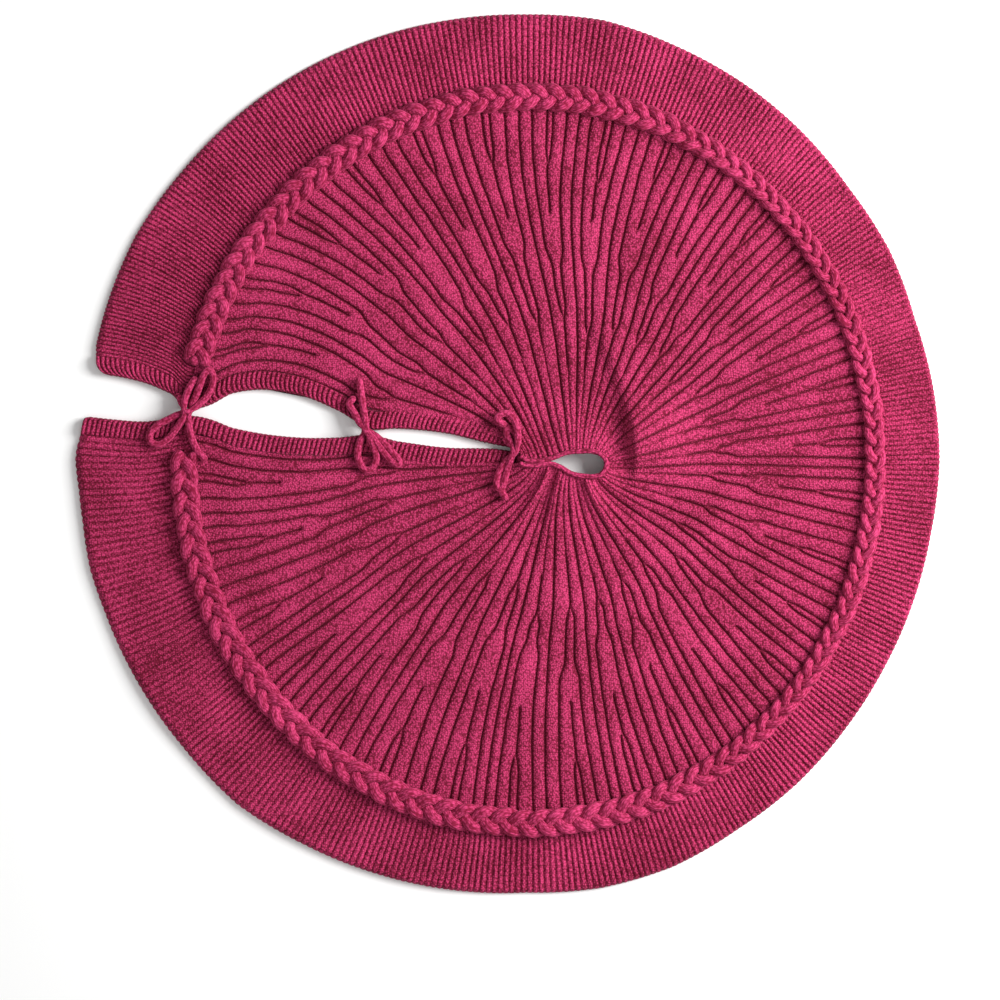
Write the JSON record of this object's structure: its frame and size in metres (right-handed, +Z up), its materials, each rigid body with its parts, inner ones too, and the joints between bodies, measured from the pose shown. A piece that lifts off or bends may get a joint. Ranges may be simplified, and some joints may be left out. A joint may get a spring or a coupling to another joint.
{
  "type": "tree skirt",
  "caption": "Round knitted tree skirt laid flat: wide-ribbed panel with a rolled neck, a plait over the seam of a fine-ribbed border, and a slit closed by tied bows.",
  "frame": {"origin": "middle of the skirt's outline, on the surface that it lies on, under the panel", "axes": "+Z up out of the surface, +X from the slit towards the far side, +Y to the side of the slit's upper edge"},
  "size_m": [0.4547, 0.4612, 0.0123],
  "materials": {
    "wide_rib_knit": "thick wool knit in wide soft ribs, matte and slightly fuzzy",
    "fine_rib_knit": "thick wool knit in fine ribs, matte",
    "band_rib_knit": "short cross ribs picked up along the slit, matte",
    "neck_knit": "ribbed collar with a rolled edge, matte",
    "plait_knit": "knitted cord, matte",
    "tie_cord": "narrow knitted cord, matte",
    "sewing_yarn": "single wool yarn, matte"
  },
  "bodies": {
    "skirt": {"inner_panel": "wide_rib_knit", "border_band": "fine_rib_knit", "slit_band_upper": "band_rib_knit", "slit_band_lower": "band_rib_knit", "neck_collar": "neck_knit", "neck_hem": "neck_knit", "border_seam_yarn": "sewing_yarn", "plait_strand_1": "plait_knit", "plait_strand_2": "plait_knit", "plait_strand_3": "plait_knit", "tie_outer_upper": "tie_cord", "tie_outer_lower": "tie_cord", "tie_middle_upper": "tie_cord", "tie_middle_lower": "tie_cord", "tie_inner_upper": "tie_cord", "tie_inner_lower": "tie_cord", "tack_outer_upper": "sewing_yarn", "tack_outer_lower": "sewing_yarn", "tack_middle_upper": "sewing_yarn", "tack_middle_lower": "sewing_yarn", "tack_inner_upper": "sewing_yarn", "tack_inner_lower": "sewing_yarn"},
    "corner_upper": {"border_corner_upper": "fine_rib_knit", "slit_band_end_upper": "band_rib_knit"},
    "corner_lower": {"border_corner_lower": "fine_rib_knit", "slit_band_end_lower": "band_rib_knit"}
  },
  "joints": [
    {"name": "corner_fold_upper", "type": "hinge", "parent": "skirt", "child": "corner_upper", "pos_m": [-0.19941, 0.05306, 0.0045], "axis": [-0.632, 0.7749, 0], "range_deg": [0, 150]},
    {"name": "corner_fold_lower", "type": "hinge", "parent": "skirt", "child": "corner_lower", "pos_m": [-0.21176, 0.00419, 0.0045], "axis": [0.7638, 0.6455, 0], "range_deg": [0, 150]}
  ]
}
